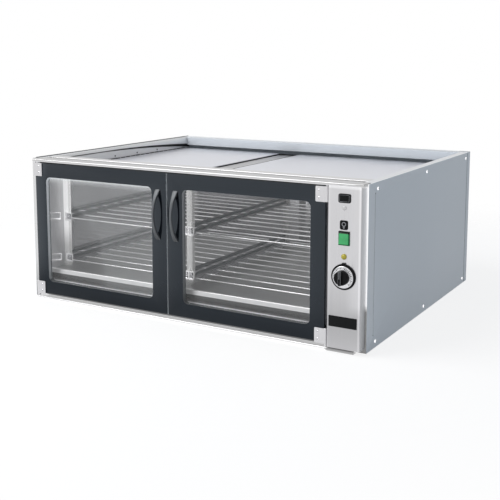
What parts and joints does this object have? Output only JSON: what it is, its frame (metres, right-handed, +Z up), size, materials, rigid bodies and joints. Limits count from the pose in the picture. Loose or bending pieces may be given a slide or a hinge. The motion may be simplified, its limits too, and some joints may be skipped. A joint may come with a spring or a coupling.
{
  "type": "proofing cabinet",
  "caption": "Low stainless proofing cabinet with glazed hinged doors, wire racks on slides, a water pan over the heated floor, a recessed top and a control column with thermostat.",
  "frame": {"origin": "middle of the base footprint of the carcass, on the floor", "axes": "+X to the right as seen from the front, +Y to the rear, +Z up; the doors look along -Y"},
  "size_m": [1.03, 0.8663, 0.402],
  "materials": {
    "side_steel": "brushed sheet",
    "stainless": "brushed sheet",
    "polished": "polished sheet",
    "rack_wire": "plated wire",
    "border": "dark grey, satin to gloss",
    "handle": "grey, satin",
    "clear_glass": "clear",
    "black_plastic": "black, fine grain",
    "green": "translucent green",
    "yellow": "translucent yellow",
    "dial": "spun, with a dark grip",
    "element": "heat tinted",
    "pale_plastic": "moulded"
  },
  "bodies": {
    "cabinet": {"left_side_panel": "side_steel", "right_side_panel": "side_steel", "rear_panel": "side_steel", "base_pan": "stainless", "front_lower_rail": "stainless", "front_header": "stainless", "front_top_trim": "stainless", "rear_rim": "stainless", "left_top_plate": "stainless", "right_top_plate": "stainless", "centre_top_channel": "stainless", "water_pan": "stainless", "sensor_bulb": "stainless", "control_fascia": "stainless", "chamber_left_wall": "polished", "chamber_right_wall": "polished", "chamber_back_wall": "polished", "chamber_ceiling": "polished", "chamber_floor": "polished", "deck_plate": "polished", "left_front_post": "polished", "left_rear_post": "polished", "centre_front_post": "polished", "centre_rear_post": "polished", "right_front_post": "polished", "right_rear_post": "polished", "left_bay_lower_slide_left": "polished", "left_bay_lower_slide_right": "polished", "left_bay_upper_slide_left": "polished", "left_bay_upper_slide_right": "polished", "right_bay_lower_slide_left": "polished", "right_bay_lower_slide_right": "polished", "right_bay_upper_slide_left": "polished", "right_bay_upper_slide_right": "polished", "left_bay_lower_rack": "rack_wire", "left_bay_upper_rack": "rack_wire", "right_bay_lower_rack": "rack_wire", "right_bay_upper_rack": "rack_wire", "interior_lamp": "clear_glass", "pilot_lens": "clear_glass", "display_window": "black_plastic", "rocker_frame": "black_plastic", "thermostat_bezel": "black_plastic", "cable_gland": "black_plastic", "indicator_lamp": "yellow", "heating_element": "element", "thermostat_body": "pale_plastic", "terminal_block": "pale_plastic"},
    "left_door": {"left_door_border": "border", "left_door_pane": "clear_glass", "left_door_handle": "handle", "left_upper_hinge": "stainless", "left_lower_hinge": "stainless"},
    "right_door": {"right_door_border": "border", "right_door_pane": "clear_glass", "right_door_handle": "handle", "right_upper_hinge": "stainless", "right_lower_hinge": "stainless"},
    "knob": {"thermostat_knob": "dial"},
    "rocker": {"rocker_button": "green"}
  },
  "joints": [
    {"name": "left_door_hinge", "type": "hinge", "parent": "cabinet", "child": "left_door", "pos_m": [-0.4883, -0.4137, 0.2], "axis": [0, 0, -1], "range_deg": [0, 95]},
    {"name": "right_door_hinge", "type": "hinge", "parent": "cabinet", "child": "right_door", "pos_m": [0.4183, -0.4137, 0.2], "axis": [0, 0, 1], "range_deg": [0, 95]},
    {"name": "thermostat_turn", "type": "hinge", "parent": "cabinet", "child": "knob", "pos_m": [0.4675, -0.436, 0.1845], "axis": [0, 1, 0], "range_deg": [0, 270]},
    {"name": "rocker_tilt", "type": "hinge", "parent": "cabinet", "child": "rocker", "pos_m": [0.4675, -0.423, 0.275], "axis": [1, 0, 0], "range_deg": [0, 12]}
  ]
}
